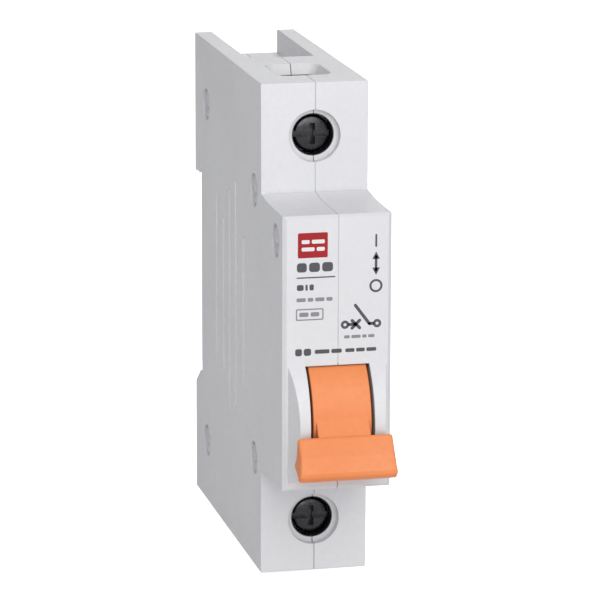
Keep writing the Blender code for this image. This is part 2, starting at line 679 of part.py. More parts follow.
def build():
    shell = finish("case_plastic", (0.80, 0.80, 0.82), 0.45)
    orange = finish("toggle_plastic", (0.95, 0.28, 0.06), 0.4)
    black = finish("mechanism_plastic", (0.05, 0.05, 0.055), 0.5)
    white = finish("bobbin_plastic", (0.75, 0.72, 0.65), 0.5)
    fibre = finish("chute_fibre", (0.52, 0.16, 0.08), 0.7)
    steel = finish("zinc_plated_steel", (0.62, 0.62, 0.60), 0.35, 1.0)
    spring = finish("spring_steel", (0.45, 0.45, 0.46), 0.3, 1.0)
    copper = finish("copper", (0.80, 0.42, 0.24), 0.3, 1.0)
    silver = finish("contact_silver", (0.86, 0.86, 0.84), 0.25, 1.0)
    bimetal = finish("bimetal", (0.56, 0.52, 0.47), 0.3, 1.0)

    case_half("case_left", shell, -1)
    case_half("case_right", shell, 1)
    for place, (y, z) in RIVETS.items():
        rivet(f"rivet_{place}", steel, y, z)

    toggle(orange)
    pin("toggle_pin", steel, (PIVOT_Y, PIVOT_Z))
    torsion_spring("toggle_spring", spring, (PIVOT_Y, PIVOT_Z), (-6.15, -5.05), 1.5, (-60, 20))
    toggle_link(spring)

    contact_carrier(black)
    pin("carrier_pin", steel, CARRIER_PIVOT)
    moving_contact_arm(copper)
    moving_contact_tip(silver)
    torsion_spring("contact_spring", spring, CARRIER_PIVOT, (2.9, 4.1), 1.5, (150, 250))
    fixed_contact_bar(copper)
    fixed_contact_tip(silver)
    lower_arc_runner(copper)

    trip_lever(black)
    pin("trip_lever_pin", steel, TRIP_PIVOT)
    bimetal_strip(bimetal)
    bimetal_bracket(steel)
    calibration_screw(steel)
    flexible_braid(copper)

    coil_winding(copper)
    coil_bobbin(white)
    coil_yoke(steel)
    coil_core(steel)
    plunger(steel)
    striker_pin(spring)
    compression_spring("plunger_spring", spring, (0.0, COIL_Y), 1.35, (12.72, 15.28), 3.5, 0.22)

    for number in range(PLATES):
        arc_plate(number, steel)
    chute_board("chute_board_left", fibre, -1)
    chute_board("chute_board_right", fibre, 1)

    middle = sum(BAR_Y) / 2
    for name, up in (("upper", 1), ("lower", -1)):
        terminal_screw(f"{name}_terminal_screw", steel, up)
        terminal_cage(f"{name}_terminal_cage", steel, up)
    terminal_bar("upper_terminal_bar", copper, [(middle, 38.2), (middle, 25.0), (-29.0, 23.9)])
    terminal_bar("lower_terminal_bar", copper,
                 [(middle, -38.2), (middle, -24.9), (-28.2, -24.9), (-28.2, -36.8)], 2.6)

    din_clip(black)
    compression_spring("din_clip_spring", spring, (0.0, 3.2), 1.4, (-35.28, -24.62), 6, 0.28)


for old in list(bpy.data.objects):
    bpy.data.objects.remove(old, do_unlink=True)
build()
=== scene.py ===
"""Looks of the single-pole circuit breaker: fine pieces, materials, print, light and camera.

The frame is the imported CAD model, in metres. Shapes made here are worked out in millimetres
and scaled as they are made. +X across the width, the front faces -Y, +Z up.
"""

import json
import math

import bmesh
import bpy
from mathutils import Matrix, Vector

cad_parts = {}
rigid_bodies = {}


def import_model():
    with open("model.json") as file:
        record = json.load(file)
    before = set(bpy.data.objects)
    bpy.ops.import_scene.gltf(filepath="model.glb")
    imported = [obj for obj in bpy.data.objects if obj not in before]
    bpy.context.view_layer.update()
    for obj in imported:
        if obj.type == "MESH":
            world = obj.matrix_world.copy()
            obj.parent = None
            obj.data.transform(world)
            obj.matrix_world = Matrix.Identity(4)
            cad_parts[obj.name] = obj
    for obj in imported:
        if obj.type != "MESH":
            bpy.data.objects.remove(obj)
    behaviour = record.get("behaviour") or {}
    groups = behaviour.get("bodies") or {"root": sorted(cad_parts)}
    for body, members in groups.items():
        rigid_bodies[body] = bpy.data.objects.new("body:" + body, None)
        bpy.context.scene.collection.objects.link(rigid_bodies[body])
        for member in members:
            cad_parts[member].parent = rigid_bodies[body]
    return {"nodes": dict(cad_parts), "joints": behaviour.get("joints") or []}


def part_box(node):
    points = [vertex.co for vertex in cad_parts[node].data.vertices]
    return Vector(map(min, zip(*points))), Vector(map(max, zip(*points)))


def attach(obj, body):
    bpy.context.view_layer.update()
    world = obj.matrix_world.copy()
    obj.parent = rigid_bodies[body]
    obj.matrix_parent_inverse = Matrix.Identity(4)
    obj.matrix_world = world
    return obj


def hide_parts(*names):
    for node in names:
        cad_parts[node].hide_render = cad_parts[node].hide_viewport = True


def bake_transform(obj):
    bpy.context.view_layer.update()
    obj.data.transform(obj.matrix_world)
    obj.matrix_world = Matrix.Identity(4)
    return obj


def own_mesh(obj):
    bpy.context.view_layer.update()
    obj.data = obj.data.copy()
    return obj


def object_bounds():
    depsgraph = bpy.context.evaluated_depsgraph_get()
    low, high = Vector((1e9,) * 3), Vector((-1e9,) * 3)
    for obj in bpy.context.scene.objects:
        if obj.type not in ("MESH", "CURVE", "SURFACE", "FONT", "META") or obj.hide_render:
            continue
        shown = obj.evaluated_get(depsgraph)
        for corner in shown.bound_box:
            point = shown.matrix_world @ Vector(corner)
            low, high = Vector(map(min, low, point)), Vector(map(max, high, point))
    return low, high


MM = 0.001

for old in list(bpy.data.objects):
    bpy.data.objects.remove(old, do_unlink=True)
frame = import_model()
cad_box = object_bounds()


def span_of(node, axis):
    """Where a CAD node starts and ends along an axis, in millimetres."""
    low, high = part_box(node)
    return low[axis] / MM, high[axis] / MM


def middle_of(node):
    low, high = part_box(node)
    return (low + high) / 2 / MM


def axis_of(node):
    """The middle of a node that lies across the width, as (Y, Z)."""
    middle = middle_of(node)
    return middle.y, middle.z


def travel_of(joint):
    """How far a slide moves from rest, in millimetres."""
    ends = next(j for j in frame["joints"] if j["name"] == joint)["range_m"]
    return max(abs(value) for value in ends) / MM


# Places read from the frame, in millimetres
HALF_HEIGHT = span_of("case_left", 2)[1]
REAR_Y = span_of("case_left", 1)[1]
SEAM_GAP = (span_of("case_left", 0)[1], span_of("case_right", 0)[0])
TERMINAL_Z = middle_of("upper_terminal_screw").z
SCREW_FRONT = span_of("upper_terminal_screw", 1)[0]
SCREW_END = span_of("upper_terminal_screw", 1)[1]
COIL_AXIS = (0.0, middle_of("coil_bobbin").y)

# Case, as in the CAD model
NOSE_Y = -65.5
NOSE_HALF = 22.5
BLOCK_Y = -49.0
WELL_R = 3.45                 # the wall of a terminal screw's hole, painted near black as shade
WELL_Y = (-47.9, -47.5, -39.0, -38.5)     # where the painted shade begins, is fully dark, begins to fade, is gone
FLANK_X = (8.0, 8.1)          # between these half widths the painted corner shade fades out towards the flanks

# Edges that turn by more than this are rounded, in degrees
ROUND_OVER = 50.0

# How a CAD node's edges are rounded, by its name's start: width, shortest edge. Width 0: not at all
ROUNDING = {
    "case": (0.18, 6.0),
    "arc_plate": (0.08, 0.44),
    "chute_board": (0.06, 0.33),
    "din_clip": (0.15, 2.0),
    "upper_terminal_cage": (0.2, 1.1),
    "lower_terminal_cage": (0.2, 1.1),
    "contact_carrier": (0.0, 0.0),
    "trip_lever": (0.0, 0.0),
    "calibration_screw": (0.0, 0.0),
    "coil_yoke": (0.05, 1.5),
}
DEFAULT_ROUNDING = (0.1, 0.55)

# Brightness of the light around, the two lamps, the floor's glow and the backdrop
AMBIENT = 0.46
KEY = 0.625
FILL = 0.25
FLOOR_GLOW = 0.85
BACKDROP = 1.05


# ---------------------------------------------------------------- shapes, in millimetres

def arc(centre, radius, start, end, steps):
    """Points on a circle, with angles in degrees from the first axis towards the second."""
    angles = [math.radians(start + (end - start) * i / steps) for i in range(steps + 1)]
    return [(centre[0] + radius * math.cos(a), centre[1] + radius * math.sin(a)) for a in angles]


def circle(centre, radius, sides=48):
    return arc(centre, radius, 0.0, 360.0, sides)[:-1]


def rounded(a, b, radius, steps=5):
    """A rectangle over the two spans with round corners."""
    corners = [(a[1], b[1], 0), (a[0], b[1], 90), (a[0], b[0], 180), (a[1], b[0], 270)]
    points = []
    for u, v, start in corners:
        centre = (u - math.copysign(radius, u - sum(a) / 2), v - math.copysign(radius, v - sum(b) / 2))
        points += arc(centre, radius, start, start + 90, steps)
    return points


def turn_about(point, centre, degrees):
    a = math.radians(degrees)
    y, z = point[0] - centre[0], point[1] - centre[1]
    return (centre[0] + y * math.cos(a) - z * math.sin(a), centre[1] + y * math.sin(a) + z * math.cos(a))


def stroke(start, end, width, steps=6):
    """The outline of a straight line with round ends."""
    heading = math.degrees(math.atan2(end[1] - start[1], end[0] - start[0]))
    near = arc(start, width / 2, heading + 90, heading + 270, steps)
    return near + arc(end, width / 2, heading - 90, heading + 90, steps)


def at(axis, a, b, along):
    return {"X": (along, a, b), "Y": (a, along, b), "Z": (a, b, along)}[axis]


def prism(outline, axis, span, hole=None):
    """A closed solid between an outline and its copy, with a hole of as many points if given."""
    mesh = bmesh.new()
    near, far = ([mesh.verts.new(at(axis, a, b, s)) for a, b in outline] for s in span)
    count = len(outline)
    loops = [(near, far)]
    if hole:
        inner = [[mesh.verts.new(at(axis, a, b, s)) for a, b in hole] for s in span]
        loops.append(tuple(inner))
        for outer, cut in zip((near, far), inner):
            for i in range(count):
                j = (i + 1) % count
                mesh.faces.new((outer[i], outer[j], cut[j], cut[i]))
    else:
        mesh.faces.new(near)
        mesh.faces.new(far)
    for first, second in loops:
        for i in range(count):
            j = (i + 1) % count
            mesh.faces.new((first[i], first[j], second[j], second[i]))
    bmesh.ops.recalc_face_normals(mesh, faces=mesh.faces)
    return mesh


def turned(profile, axis, centre, sides=48):
    """A closed profile turned about the axis. A radius may be a function of the angle."""
    mesh = bmesh.new()
    rings = []
    for radius, along in profile:
        if radius == 0:
            rings.append([mesh.verts.new(at(axis, *centre, along))])
            continue
        ring = []
        for i in range(sides):
            a = 2 * math.pi * i / sides
            r = radius(a) if callable(radius) else radius
            place = (centre[0] + r * math.cos(a), centre[1] + r * math.sin(a))
            ring.append(mesh.verts.new(at(axis, *place, along)))
        rings.append(ring)
    for ring, following in zip(rings, rings[1:] + rings[:1]):
        if len(ring) == 1 and len(following) == 1:
            continue
        for i in range(sides):
            j = (i + 1) % sides
            corners = [ring[i % len(ring)], ring[j % len(ring)]]
            corners += [following[j % len(following)], following[i % len(following)]]
            mesh.faces.new(list(dict.fromkeys(corners)))
    bmesh.ops.recalc_face_normals(mesh, faces=mesh.faces)
    return mesh


def tube(mesh, path, radius, sides=12):
    """Adds a round wire along a path to the mesh, its ends closed with a dome."""
    path = [Vector(point) for point in path]
    ways = [(b - a).normalized() for a, b in zip(path, path[1:])]
    side = ways[0].orthogonal().normalized()
    rings = []
    stations = [(path[0], radius * 0.7, ways[0])]
    for i, here in enumerate(path):
        before, after = ways[max(i - 1, 0)], ways[min(i, len(ways) - 1)]
        along = (before + after).normalized()
        shift = radius * 0.3 * ((i == 0) - (i == len(path) - 1))
        stations.append((here + along * shift, radius, along))
    stations.append((path[-1], radius * 0.7, ways[-1]))
    for here, size, along in stations:
        side = (side - along * side.dot(along)).normalized()
        up = along.cross(side)
        ring = []
        for k in range(sides):
            a = 2 * math.pi * k / sides
            ring.append(mesh.verts.new(here + (side * math.cos(a) + up * math.sin(a)) * size))
        rings.append(ring)
    faces = [mesh.faces.new(rings[0][::-1]), mesh.faces.new(rings[-1])]
    for ring, following in zip(rings, rings[1:]):
        for i in range(sides):
            j = (i + 1) % sides
            faces.append(mesh.faces.new((ring[i], ring[j], following[j], following[i])))
    bmesh.ops.recalc_face_normals(mesh, faces=faces)
    return mesh


def helix(axis, centre, radius, span, turns, steps=32, start=0.0):
    """Points along a coil about the axis, from the first place to the second."""
    points = []
    total = round(turns * steps)
    for i in range(total + 1):
        a = math.radians(start) + 2 * math.pi * turns * i / total
        along = span[0] + (span[1] - span[0]) * i / total
        points.append(at(axis, centre[0] + radius * math.cos(a), centre[1] + radius * math.sin(a), along))
    return points


# ---------------------------------------------------------------- materials

class Graph:
    """A material built from procedural nodes, with places in metres from the row's origin."""

    def __init__(self, name, **settings):
        self.material = bpy.data.materials.new(name)
        self.material.use_nodes = True
        self.tree = self.material.node_tree
        self.shader = self.tree.nodes["Principled BSDF"]
        self.place = self.node("TexCoord").outputs["Object"]
        for key, value in settings.items():
            self.put(self.shader.inputs[key.replace("_", " ")], value)

    def put(self, socket, value):
        if isinstance(value, bpy.types.NodeSocket):
            self.tree.links.new(value, socket)
        elif isinstance(value, tuple) and socket.type == "RGBA":
            socket.default_value = (*value, 1.0)
        else:
            socket.default_value = value

    def node(self, kind, inputs=None, **settings):
        made = self.tree.nodes.new("ShaderNode" + kind)
        for key, value in settings.items():
            setattr(made, key, value)
        for key, value in (inputs or {}).items():
            self.put(made.inputs[key], value)
        return made

    def math(self, operation, a, b=0.0):
        return self.node("Math", {0: a, 1: b}, operation=operation).outputs[0]

    def stretch(self, scale):
        return self.node("Mapping", {"Vector": self.place, "Scale": scale}).outputs[0]

    def noise(self, scale, detail=2.0, place=None, rough=0.5):
        inputs = {"Vector": place or self.place, "Scale": scale, "Detail": detail, "Roughness": rough}
        return self.node("TexNoise", inputs).outputs[0]

    def cells(self, scale, place=None):
        inputs = {"Vector": place or self.place, "Scale": scale}
        return self.node("TexVoronoi", inputs).outputs["Distance"]

    def spread(self, value, low, high, to_low=0.0, to_high=1.0):
        """Maps low..high to to_low..to_high, clamped."""
        inputs = {0: value, 1: low, 2: high, 3: to_low, 4: to_high}
        return self.node("MapRange", inputs, interpolation_type="SMOOTHSTEP").outputs[0]

    def mix(self, share, a, b):
        return self.node("Mix", {0: share, 6: a, 7: b}, data_type="RGBA").outputs[2]

    def edge(self, radius):
        """1 on an outer or inner edge, 0 on a flat."""
        soft = self.node("Bevel", {"Radius": radius}, samples=4).outputs[0]
        flat = self.node("NewGeometry").outputs["Normal"]
        along = self.node("VectorMath", {0: soft, 1: flat}, operation="DOT_PRODUCT").outputs["Value"]
        return self.spread(along, 0.995, 0.80)

    def crevice(self, reach):
        """1 deep in a corner, where ambient occlusion finds shade, 0 in the open. Its callers use it to
        paint shade.
        """
        light = self.node("AmbientOcclusion", {"Distance": reach}, samples=4).outputs["AO"]
        return self.spread(light, 0.75, 0.30)

    def bump(self, height, depth, strength=1.0, normal=None):
        inputs = {"Height": height, "Distance": depth, "Strength": strength}
        if normal:
            inputs["Normal"] = normal
        return self.node("Bump", inputs).outputs[0]

    def done(self, colour, roughness, normal):
        self.put(self.shader.inputs["Base Color"], colour)
        self.put(self.shader.inputs["Roughness"], roughness)
        self.put(self.shader.inputs["Normal"], normal)
        return self.material


def hole_shade_mask(g):
    """1 inside the terminal screws' holes, past the counterbore and down to the screws' collars, where the
    walls are painted near black as shade.
    """
    parts = g.node("SeparateXYZ", {0: g.place}).outputs
    height = g.math("SUBTRACT", g.math("ABSOLUTE", parts["Z"]), TERMINAL_Z * MM)
    squares = [g.math("MULTIPLY", value, value) for value in (parts["X"], height)]
    distance = g.math("SQRT", g.math("ADD", *squares))
    near = g.spread(distance, WELL_R * MM, (WELL_R + 0.12) * MM, 1.0, 0.0)
    start, dark, last, end = (place * MM for place in WELL_Y)
    inside = g.spread(parts["Y"], start, dark)
    before = g.spread(parts["Y"], last, end, 1.0, 0.0)
    return g.math("MULTIPLY", near, g.math("MULTIPLY", inside, before))


def flank_mask(g):
    """1 on the flanks and in their grooves and recesses, which get no painted corner shade."""
    width = g.math("ABSOLUTE", g.node("SeparateXYZ", {0: g.place}).outputs["X"])
    return g.spread(width, *(place * MM for place in FLANK_X))


def moulded(name, light, dark, worn, roughness, grain=1.0, case=False, corners=0.34):
    """Injection-moulded plastic with an eroded grain, slight sink, rubbed edges and painted shade in
    corners.

    The case has none of this painted corner shade on its flanks, and the walls of its screw holes are
    painted near black as shade.
    """
    g = Graph(name)
    cloud, speck = g.noise(55.0, 3.0), g.noise(1100.0, 4.0, rough=0.6)
    edge = g.edge(0.22 * MM)
    colour = g.mix(g.spread(cloud, 0.35, 0.65), light, dark)
    colour = g.mix(g.spread(speck, 0.3, 0.7, 0.0, 0.3), colour, tuple(0.93 * c for c in dark))
    rubbed = g.math("MULTIPLY", edge, g.spread(g.noise(420.0, 3.0), 0.35, 0.65, 0.15, 0.6))
    colour = g.mix(rubbed, colour, worn)
    # Corners darkened from ambient occlusion: painted shade, kept off the case's flanks.
    corner_shade = g.math("MULTIPLY", g.crevice(1.6 * MM), corners)
    if case:
        corner_shade = g.math("MULTIPLY", corner_shade, g.math("SUBTRACT", 1.0, flank_mask(g)))
    colour = g.mix(corner_shade, colour, tuple(0.4 * c for c in dark))
    # The walls of the screw holes are painted near black: painted shade.
    if case:
        colour = g.mix(hole_shade_mask(g), colour, (0.012, 0.012, 0.013))
    rough = g.spread(speck, 0.3, 0.7, roughness - 0.05, roughness + 0.06)
    rough = g.math("SUBTRACT", rough, g.math("MULTIPLY", rubbed, 0.14))
    soft = g.node("Bevel", {"Radius": 0.12 * MM}, samples=4).outputs[0]
    sink = g.bump(g.noise(95.0, 1.0), 0.10 * MM, 1.0, soft)
    eroded = g.bump(g.noise(3600.0, 2.0), 0.006 * MM * grain, 1.0, sink)
    hair = g.noise(900.0, 2.0, g.stretch((0.08, 1.0, 1.0)))
    scratched = g.bump(g.spread(hair, 0.70, 0.74), 0.003 * MM, 0.6, eroded)
    return g.done(colour, rough, scratched)


def metal(name, clean, aged, roughness, grain=(1.0, 0.06, 1.0)):
    """Bare or plated metal: a drawn or rolled grain, patches of tarnish, bright rubbed edges."""
    g = Graph(name, Metallic=1.0)
    patch = g.spread(g.noise(260.0, 5.0, rough=0.65), 0.45, 0.75)
    fleck = g.cells(1500.0)
    lines = g.noise(2600.0, 3.0, g.stretch(grain))
    edge = g.edge(0.12 * MM)
    colour = g.mix(patch, clean, aged)
    colour = g.mix(g.spread(fleck, 0.1, 0.6, 0.0, 0.22), colour, tuple(0.8 * c for c in clean))
    colour = g.mix(g.math("MULTIPLY", edge, 0.7), colour, tuple(min(1.0, 1.25 * c) for c in clean))
    # Darker in crevices, from ambient occlusion: painted shade.
    colour = g.mix(g.math("MULTIPLY", g.crevice(0.8 * MM), 0.5), colour, tuple(0.25 * c for c in aged))
    rough = g.math("ADD", g.spread(lines, 0.3, 0.7, roughness - 0.07, roughness + 0.07),
                   g.math("MULTIPLY", patch, 0.16))
    drawn = g.bump(lines, 0.004 * MM)
    return g.done(colour, rough, g.bump(g.noise(700.0, 2.0), 0.008 * MM, 0.7, drawn))


def fibre(name, light, dark):
    """Pressed vulcanised fibre: matted threads and a dull, slightly furry surface."""
    g = Graph(name)
    mat = g.noise(1500.0, 5.0, g.stretch((1.0, 0.25, 1.0)), 0.7)
    cross = g.noise(1500.0, 5.0, g.stretch((1.0, 1.0, 0.25)), 0.7)
    threads = g.math("MULTIPLY", mat, cross)
    colour = g.mix(g.spread(threads, 0.16, 0.36), dark, light)
    # Darker in crevices, from ambient occlusion: painted shade.
    colour = g.mix(g.math("MULTIPLY", g.crevice(1.0 * MM), 0.5), colour, tuple(0.3 * c for c in dark))
    rough = g.spread(threads, 0.16, 0.36, 0.62, 0.85)
    return g.done(colour, rough, g.bump(threads, 0.03 * MM))


def ink(name, colour, thin):
    """Pad-printed ink: a little patchy, so that the plastic shows through at its thinnest."""
    g = Graph(name)
    cover = g.noise(2400.0, 4.0, rough=0.65)
    tint = g.mix(g.spread(cover, 0.62, 0.80, 0.0, 0.55), colour, thin)
    tint = g.mix(g.spread(g.noise(300.0, 2.0), 0.3, 0.7, 0.0, 0.25), tint, tuple(0.8 * c for c in colour))
    rough = g.spread(cover, 0.3, 0.7, 0.42, 0.58)
    return g.done(tint, rough, g.bump(cover, 0.004 * MM))


CASE_LIGHT = (0.800, 0.800, 0.822)
LOOKS = {
    "case_plastic": moulded("case_plastic", CASE_LIGHT, (0.765, 0.765, 0.790), (0.86, 0.86, 0.87),
                            0.46, case=True),
    # The toggle's strong corner darkening is painted shade, as on the drum's top inside its window.
    "toggle_plastic": moulded("toggle_plastic", (0.92, 0.298, 0.100), (0.89, 0.268, 0.083),
                              (1.0, 0.40, 0.18), 0.44, grain=0.6, corners=0.85),
    "mechanism_plastic": moulded("mechanism_plastic", (0.040, 0.041, 0.044), (0.028, 0.029, 0.031),
                                 (0.09, 0.09, 0.095), 0.52),
    "bobbin_plastic": moulded("bobbin_plastic", (0.74, 0.70, 0.61), (0.68, 0.63, 0.53),
                              (0.82, 0.79, 0.72), 0.50),
    "chute_fibre": fibre("chute_fibre", (0.50, 0.135, 0.060), (0.30, 0.065, 0.030)),
    "zinc_plated_steel": metal("zinc_plated_steel", (0.66, 0.67, 0.68), (0.50, 0.50, 0.47), 0.30),
    "rivet_zinc": metal("rivet_zinc", (0.76, 0.77, 0.79), (0.64, 0.64, 0.64), 0.50),
    "spring_steel": metal("spring_steel", (0.48, 0.48, 0.50), (0.27, 0.26, 0.25), 0.24),
    "copper": metal("copper", (0.83, 0.43, 0.25), (0.50, 0.20, 0.10), 0.26),
    "contact_silver": metal("contact_silver", (0.88, 0.87, 0.84), (0.62, 0.58, 0.50), 0.20),
    "bimetal": metal("bimetal", (0.60, 0.56, 0.50), (0.40, 0.36, 0.40), 0.26, (0.06, 1.0, 1.0)),
    # Near-black steel for the terminal screws: painted shade, standing in for the dark that their heads
    # show in the holes.
    "screw_steel_dark_as_shade": metal("screw_steel_dark_as_shade", (0.075, 0.075, 0.080), (0.030, 0.028, 0.026), 0.27),
    "red_ink": ink("red_ink", (0.40, 0.002, 0.009), (0.43, 0.02, 0.03)),
    "white_ink": ink("white_ink", (0.86, 0.85, 0.85), (0.75, 0.55, 0.55)),
    "grey_ink": ink("grey_ink", (0.085, 0.088, 0.100), (0.30, 0.30, 0.31)),
    "pale_ink": ink("pale_ink", (0.27, 0.27, 0.29), (0.45, 0.45, 0.46)),
}


# ---------------------------------------------------------------- objects

def node_group(name):
    """An empty geometry node group, with its input and output nodes."""
    group = bpy.data.node_groups.new(name, "GeometryNodeTree")
    group.interface.new_socket("Geometry", in_out="INPUT", socket_type="NodeSocketGeometry")
    group.interface.new_socket("Geometry", in_out="OUTPUT", socket_type="NodeSocketGeometry")
    return group, group.nodes.new("NodeGroupInput"), group.nodes.new("NodeGroupOutput")


def edges_over(group, degrees, measure="Unsigned Angle"):
    """A socket that is true on edges whose faces turn by more than the angle.

    The signed angle is above 0 on outer edges only, and below it in inner corners.
    """
    angle = group.nodes.new("GeometryNodeInputMeshEdgeAngle")
    over = group.nodes.new("FunctionNodeCompare")
    over.operation = "GREATER_THAN"
    over.inputs[1].default_value = math.radians(degrees)
    group.links.new(angle.outputs[measure], over.inputs[0])
    return over.outputs[0]


def sharpen_group():
    """Marks edges over an angle as sharp, so that shading stays crisp there."""
    group, source, result = node_group("sharp_over_angle")
    faces, edges = (group.nodes.new("GeometryNodeSetShadeSmooth") for _ in range(2))
    faces.domain, edges.domain = "FACE", "EDGE"
    edges.inputs["Shade Smooth"].default_value = False
    group.links.new(source.outputs[0], faces.inputs["Geometry"])
    group.links.new(faces.outputs[0], edges.inputs["Geometry"])
    group.links.new(edges_over(group, 40.0), edges.inputs["Selection"])
    group.links.new(edges.outputs[0], result.inputs[0])
    return group


def weight_group(shortest):
    """Gives a bevel weight to sharp outer edges that are long enough to be rounded.

    Left out are the edges along the parting line, which stay tight, the shallow steps of the rail
    seat, and the two edges of a chamfer, which is too narrow to be rounded from both sides.
    """
    group, source, result = node_group(f"round_over_{shortest}")
    nodes, links = group.nodes, group.links
    ends = nodes.new("GeometryNodeInputMeshEdgeVertices")
    length = nodes.new("ShaderNodeVectorMath")
    length.operation = "DISTANCE"
    parts = [nodes.new("ShaderNodeSeparateXYZ") for _ in range(2)]
    for number, part in enumerate(parts):
        links.new(ends.outputs[2 + number], length.inputs[number])
        links.new(ends.outputs[2 + number], part.inputs[0])

    def arithmetic(operation, *values):
        made = nodes.new("ShaderNodeMath")
        made.operation = operation
        for number, value in enumerate(values):
            if isinstance(value, bpy.types.NodeSocket):
                links.new(value, made.inputs[number])
            else:
                made.inputs[number].default_value = value
        return made.outputs[0]

    def away(axis, plane, reach):
        shifts = [arithmetic("SUBTRACT", part.outputs[axis], plane) for part in parts]
        gaps = [arithmetic("ABSOLUTE", shift) for shift in shifts]
        return arithmetic("GREATER_THAN", arithmetic("MAXIMUM", *gaps), reach)

    weight = arithmetic("GREATER_THAN", length.outputs["Value"], shortest * MM)
    off_seam = away(0, sum(SEAM_GAP) / 2 * MM, 0.15 * MM)
    off_seat = away(1, 0.0, 0.25 * MM)
    for test in (edges_over(group, ROUND_OVER, "Signed Angle"), off_seam, off_seat):
        weight = arithmetic("MULTIPLY", weight, test)
    store = nodes.new("GeometryNodeStoreNamedAttribute")
    store.domain, store.data_type = "EDGE", "FLOAT"
    store.inputs["Name"].default_value = "bevel_weight_edge"
    links.new(source.outputs[0], store.inputs["Geometry"])
    links.new(weight, store.inputs["Value"])
    links.new(store.outputs[0], result.inputs[0])
    return group


SHARPEN = sharpen_group()
WEIGHTS = {}


def shade(obj):
    """Crisp shading on sharp edges, flat faces that stay flat beside their rounded edges."""
    modifier = obj.modifiers.new("sharp_edges", "NODES")
    modifier.node_group = SHARPEN
    modifier = obj.modifiers.new("face_normals", "WEIGHTED_NORMAL")
    modifier.keep_sharp = True


def round_edges(obj, width, segments=3):
    """Rounds the edges over the angle, unless the caller limits the modifier by weight instead."""
    modifier = obj.modifiers.new("round_edges", "BEVEL")
    modifier.width = width * MM
    modifier.segments = segments
    modifier.limit_method = "ANGLE"
    modifier.angle_limit = math.radians(ROUND_OVER)
    modifier.use_clamp_overlap = False
    return modifier


def dress_node(obj, width, shortest):
    """A CAD node with its flats joined up, its outer edges rounded and its material made fine."""
    same_point, same_plane = 2e-6, 0.5
    if "custom_normal" in obj.data.attributes:
        obj.data.attributes.remove(obj.data.attributes["custom_normal"])
    modifier = obj.modifiers.new("join_points", "WELD")
    modifier.merge_threshold = same_point
    modifier = obj.modifiers.new("join_flats", "DECIMATE")
    modifier.decimate_type = "DISSOLVE"
    modifier.angle_limit = math.radians(same_plane)
    if width:
        if shortest not in WEIGHTS:
            WEIGHTS[shortest] = weight_group(shortest)
        modifier = obj.modifiers.new("edges_to_round", "NODES")
        modifier.node_group = WEIGHTS[shortest]
        round_edges(obj, width).limit_method = "WEIGHT"
    shade(obj)
    obj.data.materials[0] = LOOKS[obj.data.materials[0].name]


def to_object(name, mesh):
    mesh.transform(Matrix.Scale(MM, 4))
    data = bpy.data.meshes.new(name)
    mesh.to_mesh(data)
    mesh.free()
    obj = bpy.data.objects.new(name, data)
    bpy.context.scene.collection.objects.link(obj)
    return obj


def piece(name, mesh, look, body, replaced=(), cuts=(), bevel=0.0):
    """A fine piece on a body. Cuts are meshes taken away from it."""
    obj = to_object(name, mesh)
    obj.data.materials.append(LOOKS[look])
    for number, cut in enumerate(cuts):
        tool = to_object(f"{name}_cut_{number}", cut)
        tool.hide_render = True
        modifier = obj.modifiers.new(tool.name, "BOOLEAN")
        modifier.operation = "DIFFERENCE"
        modifier.object = tool
        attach(tool, body)
    if bevel:
        round_edges(obj, bevel, 2)
    shade(obj)
    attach(obj, body)
    if replaced:
        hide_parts(*replaced)
    return obj


# ---------------------------------------------------------------- fine pieces

def screw_profile():
    """Pan head with a rolled rim, then a shank with a thread, as (radius, Y)."""
    head, head_depth, chamfer = 3.05, 2.0, 0.12
    rim, rim_r, rim_y = 2.45, 0.6, SCREW_FRONT + 0.8
    pitch, core, depth, run_out = 0.8, 1.82, 0.36, 0.5
    back = SCREW_FRONT + head_depth
    start, end = back + 0.5, SCREW_END - 0.35
    rings = round((end - start) / 0.1)
    profile = [(0, SCREW_FRONT), (1.2, SCREW_FRONT + 0.02), (2.1, SCREW_FRONT + 0.12)]
    for i in range(1, 7):
        a = math.radians(15 * i)
        profile.append((rim + rim_r * math.sin(a), rim_y - rim_r * math.cos(a)))
    profile += [(head, back - chamfer), (head - chamfer, back), (2.0, back), (1.85, back + 0.15)]

    def ridge(along):
        fade = min(1.0, (along - start) / run_out, (end - along) / run_out)

        def radius(angle):
            phase = ((along - start) / pitch + angle / (2 * math.pi)) % 1.0
            return core + depth * max(0.0, fade) * min(1.0, 1.35 * (1 - abs(2 * phase - 1)))
        return radius

    for i in range(rings + 1):
        along = start + (end - start) * i / rings
        profile.append((ridge(along), along))
    return profile + [(1.6, SCREW_END - 0.05), (0, SCREW_END)]


def terminal_screw(place, up):
    """The screw of a terminal, with a slot and a shorter, deeper cross slot."""
    middle = TERMINAL_Z * up
    front = SCREW_FRONT - 0.5
    bottom = front + 0.5 + 1.1
    slot = rounded((-3.5, 3.5), (middle - 0.48, middle + 0.48), 0.05, 1)
    cross = rounded((-0.5, 0.5), (middle - 1.75, middle + 1.75), 0.15, 2)
    cuts = [prism(slot, "Y", (front, bottom)), prism(cross, "Y", (front, bottom + 0.4))]
    node = f"{place}_terminal_screw"
    # The screw's near-black colour is painted shade.
    piece(f"{node}_fine", turned(screw_profile(), "Y", (0.0, middle), 48),
          "screw_steel_dark_as_shade", f"{place}_screw", [node], cuts)


